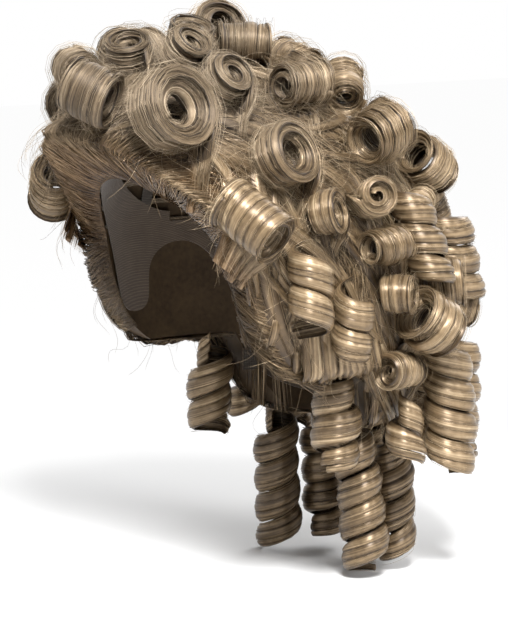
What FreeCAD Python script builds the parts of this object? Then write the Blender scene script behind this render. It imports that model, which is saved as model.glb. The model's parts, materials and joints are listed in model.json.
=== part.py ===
import FreeCAD, Part
import math
import os

# Costume wig with a raised front, set rolls over the whole head and ringlets that hang from it.
# A stitched cap fits the head, rows of weft are sewn round it, and a teased hair mass
# hides them and carries the rolls. Millimetres, +Z up, the wearer faces -Y and the wearer's
# left is +X. The origin is the centre of the head at its widest level, where the wig is held.

V = FreeCAD.Vector
DOWN = V(0, 0, -1)

# Head that the cap is made for: half sizes of its upper and lower ellipsoids
HEAD_HALF_WIDTH = 76.0
HEAD_HALF_DEPTH = 97.0
HEAD_RISE = 95.0
HEAD_DROP = 123.0

# Cap
CLOTH = 0.8                 # thickness of the bands, the net and the elastic ribs
BAND_WIDTH = 20.0           # width of the hem band round the face and the neck
SEAM = 0.1                  # gap between two layers sewn together
RIB_WIDTH = 8.0
RIB_AZIMUTHS = (75, 100, 125, 150, 180)
NET_LEVEL = 46.0            # lower edge of the crown net
WEFT_LEVEL = -82.0          # lowest weft row
WEFT_PITCH = 13.0
WEFT_HEIGHT = 3.2
WEFT_THICKNESS = 1.6
WEFT_ROWS = 12
STAY_WIDTH = 5.0
STAY_LENGTH = 30.0
STAY_THICKNESS = 0.7
STAY_MARGIN = 3.0           # cloth left below a stay
TEMPLE_LEVEL = 10.0         # the front band ends and the ear tabs begin
TAB_BACK = -0.155 * HEAD_HALF_DEPTH     # rear edge of an ear tab
NAPE_FRONT = 0.495 * HEAD_HALF_DEPTH    # the ear bands end and the nape band begins

# Adjusters inside the nape band
STRAP_LEVEL = -78.0
STRAP_HEIGHT = 11.0
STRAP_THICKNESS = 0.9
STRAP_FROM = 128.0          # azimuth of the sewn end
STRAP_TO = 160.0            # azimuth of the free end
STRAP_CLEAR = 0.3
PATCH_THICKNESS = 0.6
HOOK_THICKNESS = 1.6
HOOK_SPAN = 9.0             # degrees of azimuth that a hook covers
HOOK_BAR = 2.6              # degrees of azimuth at each end of its slot
HOOK_RIM = 2.7              # plastic above and below its slot
PATCH_BEFORE = 1.0          # degrees of azimuth that a patch covers before the strap's end
PATCH_AFTER = 6.0
PATCH_MARGIN = 1.0
POCKET_HEIGHT = 15.0
POCKET_THICKNESS = 0.5
POCKET_AZIMUTHS = (171, 180, 189)
POCKET_SPAN = 6.0

# Hair mass: an ellipsoid tilted so that it stands high over the forehead and low at the back
HAIR_PAD_SIDE = 18.0        # depth of teased hair over the head, at its sides
HAIR_PAD_REAR = 49.0
HAIR_PAD_TOP = 22.0
HAIR_HALF_WIDTH = HEAD_HALF_WIDTH + HAIR_PAD_SIDE
HAIR_HALF_LENGTH = HEAD_HALF_DEPTH + HAIR_PAD_REAR
HAIR_HALF_HEIGHT = HEAD_RISE + HAIR_PAD_TOP
HAIR_TILT = -35.0
HAIR_CENTRE = V(0, -4, -12)
HAIR_LINING = 0.3           # gap between the weft rows and the hair mass
SIDE_HEM = -62.0            # lower edge of the hair beside the face
NAPE_HEM = -105.0           # lower edge of the hair on the neck
HEM_STEP_FRONT = 0.41 * HEAD_HALF_DEPTH    # the hem steps down to the neck between these
HEM_STEP_BACK = 0.52 * HEAD_HALF_DEPTH
CROWN_SPLIT = 45.0
BACK_SPLIT = 0.64 * HEAD_HALF_DEPTH
NAPE_SPLIT = -55.0

# Curls
CURL_CLEAR = 0.3            # gap between a curl and the hair it lies on
CURL_WALL = 2.6             # thickness of the combed band of hair
CURL_GAP = 1.6              # gap between two turns of a roll
SEATING_STEPS = 2
TAIL_SHARE = 0.55           # tail of a roll, as a share of its radius
RINGLET_PITCH = 19.0
RINGLET_BAND = 16.4         # height of the band that winds down a ringlet
KNOT_RADIUS = 3.0
ROOT_RADIUS = 3.4           # radius at which a ringlet's band leaves its knot
ROOT_TURNS = 0.75           # turns over which the band opens to its full radius
STEM_SHARE = 0.8            # length of a knot's stem, as a share of the band's height
POINTS_PER_TURN = 8         # of a ringlet's winding line
FEWEST_POINTS = 4

# Outline of the cap in the side view, from the forehead to the neck: Y as a share of the
# head's half depth, and Z
CAP_OUTLINE = ((-0.845, 50), (-0.66, 30), (-0.536, 8), (-0.454, -22), (-0.371, -42), (-0.227, -41),
               (-0.155, -16), (0, -4), (0.206, -6), (0.351, -20), (0.433, -50), (0.474, -84),
               (0.639, -95), (0.928, -96))
CAP_EDGE = tuple((share * HEAD_HALF_DEPTH, z) for share, z in CAP_OUTLINE)
# The hair starts this far in front of the cap and ends in its own hem below the ear tabs
HAIR_OVERLAP = 3.0
HEM_START = -0.206 * HEAD_HALF_DEPTH
HAIR_EDGE = tuple((y - HAIR_OVERLAP, z) for y, z in CAP_EDGE[:5]) + ((HEM_START, SIDE_HEM),)
HAIR_FRONT_RISE = (-1.55 * HEAD_HALF_DEPTH, 100)    # the front edge of the hair rises towards this

# Set rolls: azimuth from the face towards the wearer's left and elevation of the foot,
# turn of the axis in the surface (0 along the azimuth, 90 up the head), lift of the axis
# out of the surface, outer radius, width, half turns. All angles in degrees.
SINGLE_ROLLS = {
    "front_roll_right": (-45, 46, 180, 20, 16, 26, 4),
    "front_roll_middle": (-18, 52, 180, 20, 14, 26, 4),
    "front_roll_centre": (10, 44, 180, 20, 18, 28, 4),
    "front_roll_left": (33, 45, 0, 55, 25, 22, 4),
    "crown_roll_front": (24, 66, 0, 60, 14, 20, 3),
    "crown_roll_right": (-54, 64, 170, 10, 18, 34, 4),
    "crown_roll_top": (-88, 80, 75, 10, 18, 36, 4),
    "crown_roll_left": (64, 81, 0, 10, 14, 30, 3),
    "crown_roll_rear": (180, 70, 0, 10, 13, 34, 3),
    "back_roll_centre": (180, 27, 0, 0, 16, 30, 4),
}
# The same values for rolls that come in a pair, one on each side
PAIRED_ROLLS = {
    "crown_loops_rear": (142, 60, 20, 10, 14, 30, 3),
    "crown_loops_side": (95, 64, 0, 10, 15, 30, 3),
    "side_ring_curls": (73, 42, 0, 75, 21, 18, 5),
    "temple_barrels": (57, 22, -45, 30, 18, 38, 4),
    "side_loops": (87, 25, 0, 60, 15, 16, 3),
    "side_ring_curls_small": (110, 28, 180, 60, 13, 20, 3),
    "back_barrels_inner": (126, 44, 0, 20, 16, 32, 4),
    "back_barrels_outer": (158, 27, -50, 10, 16, 36, 4),
    "side_rolls": (113, 12, 0, 10, 11, 30, 3),
    "low_barrels": (128, -13, -30, 20, 18, 28, 4),
}
# Small rolls in one group on the crown and one on the back, where they come in pairs
CROWN_FILLERS = (
    (0, 76, 0, 70, 15, 20, 3),
    (0, 60, 0, 70, 15, 20, 3),
    (48, 60, 0, 70, 15, 20, 3),
    (-24, 64, 0, 70, 12, 16, 3),
    (128, 72, 0, 70, 12, 16, 3),
    (180, 56, 0, 70, 15, 20, 3),
)
BACK_FILLERS = (
    (152, 44, 0, 70, 15, 20, 3),
    (144, -4, 0, 70, 15, 20, 3),
    (164, -12, 0, 70, 15, 20, 3),
    (116, -4, 0, 60, 13, 18, 3),
    (170, 40, 0, 60, 13, 18, 3),
    (124, -28, 0, 0, 12, 26, 3),
    (168, 12, 90, 0, 12, 26, 3),
    (144, 20, 0, 0, 10, 22, 3),
)
# Short fixed ringlets: azimuth, elevation, turn, outer radius, length
SINGLE_RINGLETS = {
    "back_ringlet_centre": (180, 0, -90, 16, 50),
}
PAIRED_RINGLETS = {
    "back_ringlets_inner": (158, 4, -78, 15, 50),
    "back_ringlets_outer": (132, 15, -85, 13, 50),
    "ear_ringlets": (79, 4, -90, 14, 42),
    "ear_ringlets_rear": (97, -9, -90, 13, 38),
}
# Ringlets that hang beside the hair mass: azimuth, elevation of the root, lean outwards,
# outer radius, length. Those with azimuth 180 are single, the others come in pairs.
HANGING = {
    "long_side_ringlet": (144, -19, 3, 16, 88),
    "long_back_ringlet": (165, -20, 1, 16, 80),
    "long_centre_ringlet": (180, -20, 1, 16, 82),
    "under_ringlet": (132, -36, 1, 13, 44),
}
# Ringlets that hang from a knot under the hem: azimuth, share of the way from the head to
# the outer hair, hem, lean outwards, outer radius, length
KNOTTED = {
    "cheek_ringlet": (110, 0.25, SIDE_HEM, -3, 15, 62),
    "nape_front_ringlet": (144, 0.60, NAPE_HEM, 5, 15, 92),
    "nape_rear_ringlet": (158, 0.93, NAPE_HEM, 4, 14, 86),
    "nape_centre_ringlet": (180, 0.90, NAPE_HEM, 3, 14, 80),
}


def unit(v):
    """The vector with length 1."""
    return v * (1.0 / v.Length)


def rotated_x(v, degrees):
    """The vector turned about the X axis."""
    a = math.radians(degrees)
    return V(v.x, v.y * math.cos(a) - v.z * math.sin(a), v.y * math.sin(a) + v.z * math.cos(a))


def horizontal(azimuth):
    """Unit vector that points away from the head at an azimuth."""
    a = math.radians(azimuth)
    return V(math.sin(a), -math.cos(a), 0)


def placed(shape, origin, x_axis, z_axis):
    """The shape moved from its own axes to the given ones."""
    z = unit(z_axis)
    x = unit(x_axis - z * x_axis.dot(z))
    y = z.cross(x)
    m = FreeCAD.Matrix(x.x, y.x, z.x, origin.x, x.y, y.y, z.y, origin.y, x.z, y.z, z.z, origin.z,
                       0, 0, 0, 1)
    return shape.transformed(m, True)


def mirrored(shape):
    """The shape on the wearer's other side."""
    return shape.mirror(V(0, 0, 0), V(1, 0, 0))


def box(x0, x1, y0, y1, z0, z1):
    """A box between two corners."""
    return Part.makeBox(x1 - x0, y1 - y0, z1 - z0, V(x0, y0, z0))


def scaled_sphere(half_x, half_y, half_z, low=-90, high=90):
    """An ellipsoid, or the part of one between two latitudes."""
    ball = Part.makeSphere(1.0, V(0, 0, 0), V(0, 0, 1), low, high, 360)
    m = FreeCAD.Matrix()
    m.scale(half_x, half_y, half_z)
    return ball.transformGeometry(m)


def head(grow):
    """The head, grown by a distance."""
    w = HEAD_HALF_WIDTH + grow
    d = HEAD_HALF_DEPTH + grow
    top = scaled_sphere(w, d, HEAD_RISE + grow, 0, 90)
    bottom = scaled_sphere(w, d, HEAD_DROP + grow, -90, 0)
    return top.fuse(bottom)


def head_reach(azimuth, level, grow):
    """Distance from the axis to the grown head at an azimuth and a level."""
    h = horizontal(azimuth)
    rise = HEAD_RISE if level > 0 else HEAD_DROP
    rest = 1 - (level / (rise + grow)) ** 2
    flat = (h.x / (HEAD_HALF_WIDTH + grow)) ** 2 + (h.y / (HEAD_HALF_DEPTH + grow)) ** 2
    return math.sqrt(rest / flat)


def layer(inner, outer):
    """The space between two distances from the head."""
    return head(outer).cut(head(inner))


def hair_local(v):
    """A vector in the axes of the hair ellipsoid, with its half sizes scaled to 1."""
    r = rotated_x(v, -HAIR_TILT)
    return V(r.x / HAIR_HALF_WIDTH, r.y / HAIR_HALF_LENGTH, r.z / HAIR_HALF_HEIGHT)


def hair_normal(point):
    """Outward normal of the hair ellipsoid at a point on it."""
    u = hair_local(point - HAIR_CENTRE)
    g = V(u.x / HAIR_HALF_WIDTH, u.y / HAIR_HALF_LENGTH, u.z / HAIR_HALF_HEIGHT)
    return unit(rotated_x(g, HAIR_TILT))


def hair_foot(azimuth, elevation):
    """Point of the hair ellipsoid in a direction from its centre."""
    e = math.radians(elevation)
    d = horizontal(azimuth) * math.cos(e) + V(0, 0, math.sin(e))
    return HAIR_CENTRE + d * (1.0 / hair_local(d).Length)


def hair_reach(azimuth, level):
    """Distance from the axis to the hair ellipsoid at an azimuth and a level."""
    start = hair_local(V(0, 0, level) - HAIR_CENTRE)
    step = hair_local(horizontal(azimuth))
    a = step.dot(step)
    b = start.dot(step)
    c = start.dot(start) - 1
    return (-b + math.sqrt(b * b - a * c)) / a


# ---------------------------------------------------------------- cap

def side_profile(points, closing):
    """A slab across the head whose side view is a smooth edge closed by straight lines."""
    edge = Part.BSplineCurve()
    edge.interpolate([V(0, y, z) for y, z in points])
    corners = [V(0, *points[-1])] + [V(0, y, z) for y, z in closing] + [V(0, *points[0])]
    wire = Part.Wire([edge.toShape()] + Part.makePolygon(corners).Edges)
    return Part.Face(wire)


def across(face):
    """A side view face extruded over the whole width of the wig."""
    width = 2 * HAIR_HALF_WIDTH
    moved = face.copy()
    moved.translate(V(-width, 0, 0))
    return moved.extrude(V(2 * width, 0, 0))


def inner_edge():
    """Side view of the hem band's inner edge, which passes over the ear tabs."""
    points = [V(0, y, z) for y, z in CAP_EDGE[:2] + CAP_EDGE[7:]]
    edge = Part.BSplineCurve()
    edge.interpolate(points)
    shifted = []
    for p in points:
        t = unit(edge.tangent(edge.parameter(p))[0])
        shifted.append((p.y - t.z * BAND_WIDTH, p.z + t.y * BAND_WIDTH))
    return shifted


def cap_faces():
    """Side view of the whole cap and of the part inside its hem band."""
    far = 2 * HEAD_HALF_DEPTH
    faces = []
    for edge in (CAP_EDGE, inner_edge()):
        faces.append(side_profile(edge, ((far, edge[-1][1]), (far, far), (-far, far), (-far, edge[0][1]))))
    return faces


def cap_parts():
    """Bands, ear tabs, net, ribs, wefts and stays of the cap."""
    whole, inside = cap_faces()
    region = across(whole)
    inner = across(inside)
    cloth = layer(0, CLOTH).common(region)
    far = 2 * HEAD_HALF_DEPTH
    hem = cloth.cut(inner)
    front = hem.common(box(-far, far, -far, 0, TEMPLE_LEVEL, far))
    tabs = hem.common(box(-far, far, -far, TAB_BACK, -far, TEMPLE_LEVEL))
    ears = hem.common(box(-far, far, TAB_BACK, NAPE_FRONT, -far, TEMPLE_LEVEL))
    nape = hem.common(box(-far, far, NAPE_FRONT, far, -far, TEMPLE_LEVEL))
    parts = {
        "front_band": front,
        "ear_tabs": tabs,
        "ear_bands": ears,
        "nape_band": nape,
    }
    middle = cloth.common(inner)
    parts["crown_net"] = middle.common(box(-far, far, -far, far, NET_LEVEL, far))
    parts["elastic_ribs"] = ribs(middle)
    parts["weft_rows"] = wefts(region)
    parts["ear_tab_stays"] = stays()
    return parts


def ribs(middle):
    """Elastic strips between the crown net and the hem band."""
    far = 2 * HEAD_HALF_DEPTH
    below = middle.common(box(-far, far, -far, far, -far, NET_LEVEL))
    strips = []
    for azimuth in RIB_AZIMUTHS:
        strip = box(-RIB_WIDTH / 2, RIB_WIDTH / 2, -far, 0, -far, far)
        strip.rotate(V(0, 0, 0), V(0, 0, 1), azimuth)
        piece = below.common(strip)
        strips.append(piece)
        if azimuth < 180:
            strips.append(mirrored(piece))
    return Part.makeCompound([s for strip in strips for s in strip.Solids])


def wefts(region):
    """Rows of sewn weft round the ribs and the net."""
    inner = CLOTH + SEAM
    far = 2 * HEAD_HALF_DEPTH
    tab_space = box(-far, far, -far, TAB_BACK, -far, TEMPLE_LEVEL)
    sheet = layer(inner, inner + WEFT_THICKNESS).common(region).cut(tab_space)
    rows = []
    for i in range(WEFT_ROWS):
        z = WEFT_LEVEL + i * WEFT_PITCH
        rows += sheet.common(box(-far, far, -far, far, z, z + WEFT_HEIGHT)).Solids
    return Part.makeCompound(rows)


def stays():
    """Bendable stays sewn flat on the ear tabs."""
    far = 2 * HEAD_HALF_DEPTH
    inner = CLOTH + SEAM
    centre_y = (CAP_EDGE[3][0] + CAP_EDGE[5][0]) / 2
    low = CAP_EDGE[4][1] + STAY_MARGIN
    strip = box(0, far, centre_y - STAY_WIDTH / 2, centre_y + STAY_WIDTH / 2, low, low + STAY_LENGTH)
    stay = layer(inner, inner + STAY_THICKNESS).common(strip)
    return Part.makeCompound([stay, mirrored(stay)])


# ---------------------------------------------------------------- adjusters

def wedge(azimuth_from, azimuth_to, z0, z1):
    """A sector of space about the head's axis, between two azimuths and two levels."""
    far = 2 * HEAD_HALF_DEPTH
    sector = Part.makeCylinder(far, z1 - z0, V(0, 0, z0), V(0, 0, 1), azimuth_to - azimuth_from)
    sector.rotate(V(0, 0, 0), V(0, 0, 1), azimuth_from - 90)
    return sector


def adjuster_parts():
    """Straps, hooks, sewn patches and hook pockets inside the nape band."""
    patch_inner = -SEAM - PATCH_THICKNESS
    strap_outer = patch_inner - STRAP_CLEAR
    strap_inner = strap_outer - STRAP_THICKNESS
    z0 = STRAP_LEVEL - STRAP_HEIGHT / 2
    z1 = STRAP_LEVEL + STRAP_HEIGHT / 2
    strap_end = STRAP_TO - HOOK_SPAN
    strap = layer(strap_inner, strap_outer).common(wedge(STRAP_FROM, strap_end, z0, z1))
    pocket_inner = -SEAM - POCKET_THICKNESS
    hook_outer = pocket_inner - STRAP_CLEAR
    hook_inner = hook_outer - HOOK_THICKNESS
    hook = layer(hook_inner, hook_outer).common(wedge(strap_end, STRAP_TO, z0, z1))
    slot = wedge(strap_end + HOOK_BAR, STRAP_TO - HOOK_BAR, z0 + HOOK_RIM, z1 - HOOK_RIM)
    hook = hook.cut(slot)
    patch_space = wedge(STRAP_FROM - PATCH_BEFORE, STRAP_FROM + PATCH_AFTER,
                        z0 - PATCH_MARGIN, z1 + PATCH_MARGIN)
    patch = layer(patch_inner, -SEAM).common(patch_space)
    pocket_low = STRAP_LEVEL - POCKET_HEIGHT / 2
    pockets = []
    for azimuth in POCKET_AZIMUTHS:
        span = wedge(azimuth - POCKET_SPAN / 2, azimuth + POCKET_SPAN / 2,
                     pocket_low, pocket_low + POCKET_HEIGHT)
        pockets += layer(pocket_inner, -SEAM).common(span).Solids
    return {
        "adjuster_strap_left": strap,
        "adjuster_strap_right": mirrored(strap),
        "strap_hook_left": hook,
        "strap_hook_right": mirrored(hook),
        "strap_patches": Part.makeCompound([patch, mirrored(patch)]),
        "hook_pockets": Part.makeCompound(pockets),
    }


# ---------------------------------------------------------------- hair mass

def hair_ellipsoid():
    """The hair's outer form, before its edges are trimmed."""
    mass = scaled_sphere(HAIR_HALF_WIDTH, HAIR_HALF_LENGTH, HAIR_HALF_HEIGHT)
    mass.rotate(V(0, 0, 0), V(1, 0, 0), HAIR_TILT)
    mass.translate(HAIR_CENTRE)
    return mass


def hair_parts():
    """The teased hair over the cap, in the parts that it is combed into."""
    far = 2 * HAIR_HALF_LENGTH
    closing = ((HEM_STEP_FRONT, SIDE_HEM), (HEM_STEP_BACK, NAPE_HEM), (far, NAPE_HEM), (far, far),
               (-far, far), (-far, HAIR_FRONT_RISE[1]), HAIR_FRONT_RISE)
    region = across(side_profile(HAIR_EDGE, closing))
    lining = CLOTH + SEAM + WEFT_THICKNESS + HAIR_LINING
    hair = hair_ellipsoid().common(region).cut(head(lining))
    top = hair.common(box(-far, far, -far, far, CROWN_SPLIT, far))
    low = hair.common(box(-far, far, -far, far, -far, CROWN_SPLIT))
    sides = low.common(box(-far, far, -far, BACK_SPLIT, -far, far))
    rear = low.common(box(-far, far, BACK_SPLIT, far, -far, far))
    front_half = box(-far, far, -far, 0, -far, far)
    above_nape = box(-far, far, -far, far, NAPE_SPLIT, far)
    return {
        "hair_front": top.common(front_half),
        "hair_crown": top.cut(front_half),
        "hair_sides": sides,
        "hair_back": rear.common(above_nape),
        "hair_nape": rear.cut(above_nape),
    }


# ---------------------------------------------------------------- curls

def spiral_face(radius, half_turns):
    """Section of a rolled band: half circles about two centres, and a straight tail."""
    step = (CURL_WALL + CURL_GAP) / 2
    tail = TAIL_SHARE * radius
    outer = [Part.LineSegment(V(radius, -tail, 0), V(radius, 0, 0)).toShape()]
    inner = [Part.LineSegment(V(radius - CURL_WALL, -tail, 0), V(radius - CURL_WALL, 0, 0)).toShape()]
    for k in range(half_turns):
        side = 1 if k % 2 == 0 else -1
        centre = V(0, 0, 0) if k % 2 == 0 else V(-step, 0, 0)
        for r, edges in ((radius - k * step, outer), (radius - k * step - CURL_WALL, inner)):
            start = centre + V(side * r, 0, 0)
            middle = centre + V(0, side * r, 0)
            end = centre + V(-side * r, 0, 0)
            edges.append(Part.Arc(start, middle, end).toShape())
    tip_outer = outer[-1].Vertexes[-1].Point
    tip_inner = inner[-1].Vertexes[-1].Point
    ends = [
        Part.LineSegment(V(radius, -tail, 0), V(radius - CURL_WALL, -tail, 0)).toShape(),
        Part.LineSegment(tip_outer, tip_inner).toShape(),
    ]
    wire = Part.Wire(Part.__sortEdges__(outer + inner + ends))
    return Part.Face(wire)


def stance(azimuth, elevation, turn, lift, radius, width):
    """Centre and axes of a cylinder that stands clear of the hair at its foot."""
    foot = hair_foot(azimuth, elevation)
    n = hair_normal(foot)
    a = math.radians(azimuth)
    along = V(math.cos(a), math.sin(a), 0)
    along = unit(along - n * along.dot(n))
    up = n.cross(along)
    tu = math.radians(turn)
    li = math.radians(lift)
    axis = (along * math.cos(tu) + up * math.sin(tu)) * math.cos(li) + n * math.sin(li)
    slope = abs(axis.dot(n))
    stand = CURL_CLEAR + radius * math.sqrt(1 - slope * slope) + width / 2 * slope
    return foot + n * stand, axis, n


def seated(curl, normal, hair):
    """The curl moved back along the normal until it nearly touches the hair."""
    for _ in range(SEATING_STEPS):
        gap = curl.distToShape(hair)[0]
        curl.translate(normal * (CURL_CLEAR - gap))
    return curl


def roll(hair, azimuth, elevation, turn, lift, radius, width, half_turns):
    """A rolled curl that lies on the hair by its foot."""
    centre, axis, n = stance(azimuth, elevation, turn, lift, radius, width)
    body = spiral_face(radius, half_turns).extrude(V(0, 0, width))
    body.translate(V(0, 0, -width / 2))
    return seated(placed(body, centre, n * -1, axis), n, hair)


def band_path(radius, root, length, tail):
    """Route of a ringlet's band: a straight tail, an opening spiral and a helix."""
    middle = radius - CURL_WALL / 2
    drop = length - RINGLET_BAND
    turns = drop / RINGLET_PITCH
    count = max(FEWEST_POINTS, math.ceil(turns * POINTS_PER_TURN))
    points = []
    if tail:
        points = [V(-middle, tail, 0), V(-middle, tail / 2, 0)]
    for i in range(count + 1):
        turn = turns * i / count
        opened = min(1.0, turn / ROOT_TURNS) if root < middle else 1.0
        blend = opened * opened * (3 - 2 * opened)
        r = root + (middle - root) * blend
        a = math.pi + 2 * math.pi * turn
        points.append(V(r * math.cos(a), r * math.sin(a), -turn * RINGLET_PITCH))
    return points


def ringlet(radius, length, knotted):
    """A ringlet from z=0 down: a tall thin band wound in a helix, with a knot or a tail."""
    root = ROOT_RADIUS if knotted else radius - CURL_WALL / 2
    tail = 0 if knotted else TAIL_SHARE * radius
    curve = Part.BSplineCurve()
    curve.interpolate(band_path(radius, root, length, tail))
    edge = curve.toShape()
    start = edge.valueAt(edge.FirstParameter)
    half_wall = CURL_WALL / 2
    half_band = RINGLET_BAND / 2
    corners = [V(-half_wall, 0, -half_band), V(half_wall, 0, -half_band),
               V(half_wall, 0, half_band), V(-half_wall, 0, half_band)]
    profile = Part.makePolygon(corners + corners[:1])
    profile.translate(start)
    sweep = Part.BRepOffsetAPI.MakePipeShell(Part.Wire([edge]))
    sweep.setBiNormalMode(V(0, 0, 1))
    sweep.add(profile)
    sweep.build()
    sweep.makeSolid()
    band = sweep.shape()
    if not knotted:
        band.translate(V(0, 0, -half_band))
        return band
    band.translate(V(0, 0, -half_band - KNOT_RADIUS))
    knot = Part.makeSphere(KNOT_RADIUS)
    stem = Part.makeCylinder(KNOT_RADIUS, KNOT_RADIUS + RINGLET_BAND * STEM_SHARE, V(0, 0, 0), DOWN)
    return band.fuse([knot, stem])


def short_ringlet(hair, azimuth, elevation, turn, radius, length):
    """A ringlet that lies on the hair by its middle."""
    centre, axis, n = stance(azimuth, elevation, turn, 0, radius, length)
    body = ringlet(radius, length, False)
    return seated(placed(body, centre - axis * (length / 2), n, axis * -1), n, hair)


def hanging_ringlet(azimuth, elevation, lean, radius, length):
    """A ringlet whose top touches the side of the hair, and its root point."""
    foot = hair_foot(azimuth, elevation)
    n = hair_normal(foot)
    out = unit(V(n.x, n.y, 0))
    stand = radius + CURL_CLEAR / out.dot(n)
    le = math.radians(lean)
    axis = unit(DOWN * math.cos(le) + out * math.sin(le))
    body = ringlet(radius, length, False)
    return placed(body, foot + out * stand, out, axis * -1), foot, out


def knotted_ringlet(azimuth, share, hem, lean, radius, length):
    """A ringlet that hangs from a knot under the hem, and the middle of its knot."""
    inner = head_reach(azimuth, hem, 0)
    outer = hair_reach(azimuth, hem)
    out = horizontal(azimuth)
    knot = out * (inner + (outer - inner) * share) + V(0, 0, hem - KNOT_RADIUS - CURL_CLEAR)
    le = math.radians(lean)
    axis = DOWN * math.cos(le) + out * math.sin(le)
    body = ringlet(radius, length, True)
    return placed(body, knot, out, axis * -1), knot, out


def curl_parts():
    """Every roll and ringlet."""
    hair = hair_ellipsoid()
    parts = {}
    for table, make in ((SINGLE_ROLLS, roll), (SINGLE_RINGLETS, short_ringlet)):
        for name, values in table.items():
            parts[name] = make(hair, *values)
    for table, make in ((PAIRED_ROLLS, roll), (PAIRED_RINGLETS, short_ringlet)):
        for name, values in table.items():
            curl = make(hair, *values)
            parts[name] = Part.makeCompound([curl, mirrored(curl)])
    crown = [roll(hair, *values) for values in CROWN_FILLERS]
    back = [roll(hair, *values) for values in BACK_FILLERS]
    parts["crown_fillers"] = Part.makeCompound(crown)
    parts["back_fillers"] = Part.makeCompound(back + [mirrored(curl) for curl in back])
    for table, make in ((HANGING, hanging_ringlet), (KNOTTED, knotted_ringlet)):
        for name, values in table.items():
            curl, root, out = make(*values)
            if values[0] == 180:
                parts[name] = curl
            else:
                parts[name + "_left"] = curl
                parts[name + "_right"] = mirrored(curl)
    return parts


def build():
    """Every sub-part by name."""
    parts = cap_parts()
    parts.update(adjuster_parts())
    parts.update(hair_parts())
    parts.update(curl_parts())
    return parts


os.makedirs("parts", exist_ok=True)
for name, shape in build().items():
    shape.exportStep(os.path.join("parts", name + ".step"))
    print("%-28s %2d solids  %9.1f mm3  valid %s" % (name, len(shape.Solids), shape.Volume, shape.isValid()))
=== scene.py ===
"""Costume wig: combed hair over every curl and the teased base, cap cloth, camera, light and floor."""

import json
import math
import zlib

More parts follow.
